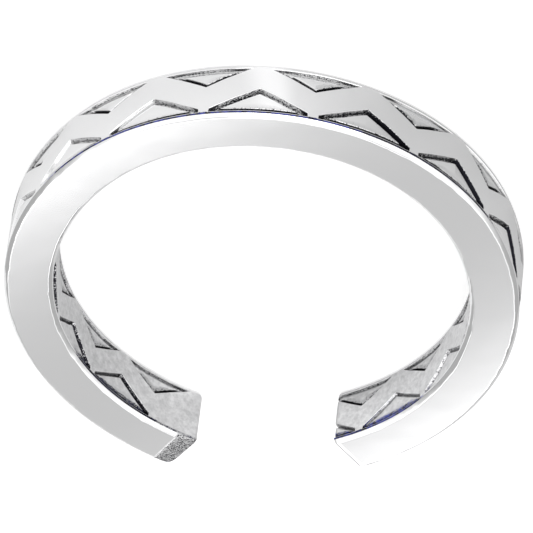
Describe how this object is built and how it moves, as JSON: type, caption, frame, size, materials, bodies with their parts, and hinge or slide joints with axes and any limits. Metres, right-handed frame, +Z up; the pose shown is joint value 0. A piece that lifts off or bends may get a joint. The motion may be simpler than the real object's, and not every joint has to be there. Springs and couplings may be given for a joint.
{
  "type": "toe ring",
  "caption": "Open adjustable toe ring: a flat-sided silver band with a raised zigzag on its outside and its inside, and a gap between its ends.",
  "frame": {"origin": "on the axis of the front bend, at the level of the flat side that the ring lies on", "axes": "+Z up, along the toe; -Y towards the middle of the front; +Y towards the gap; +X towards the longer arm"},
  "size_m": [0.0174, 0.0188, 0.0023],
  "materials": {
    "silver": "polished silver, oxidised black in the grooves of the zigzag"
  },
  "bodies": {
    "root": {"band": "silver"}
  },
  "joints": []
}
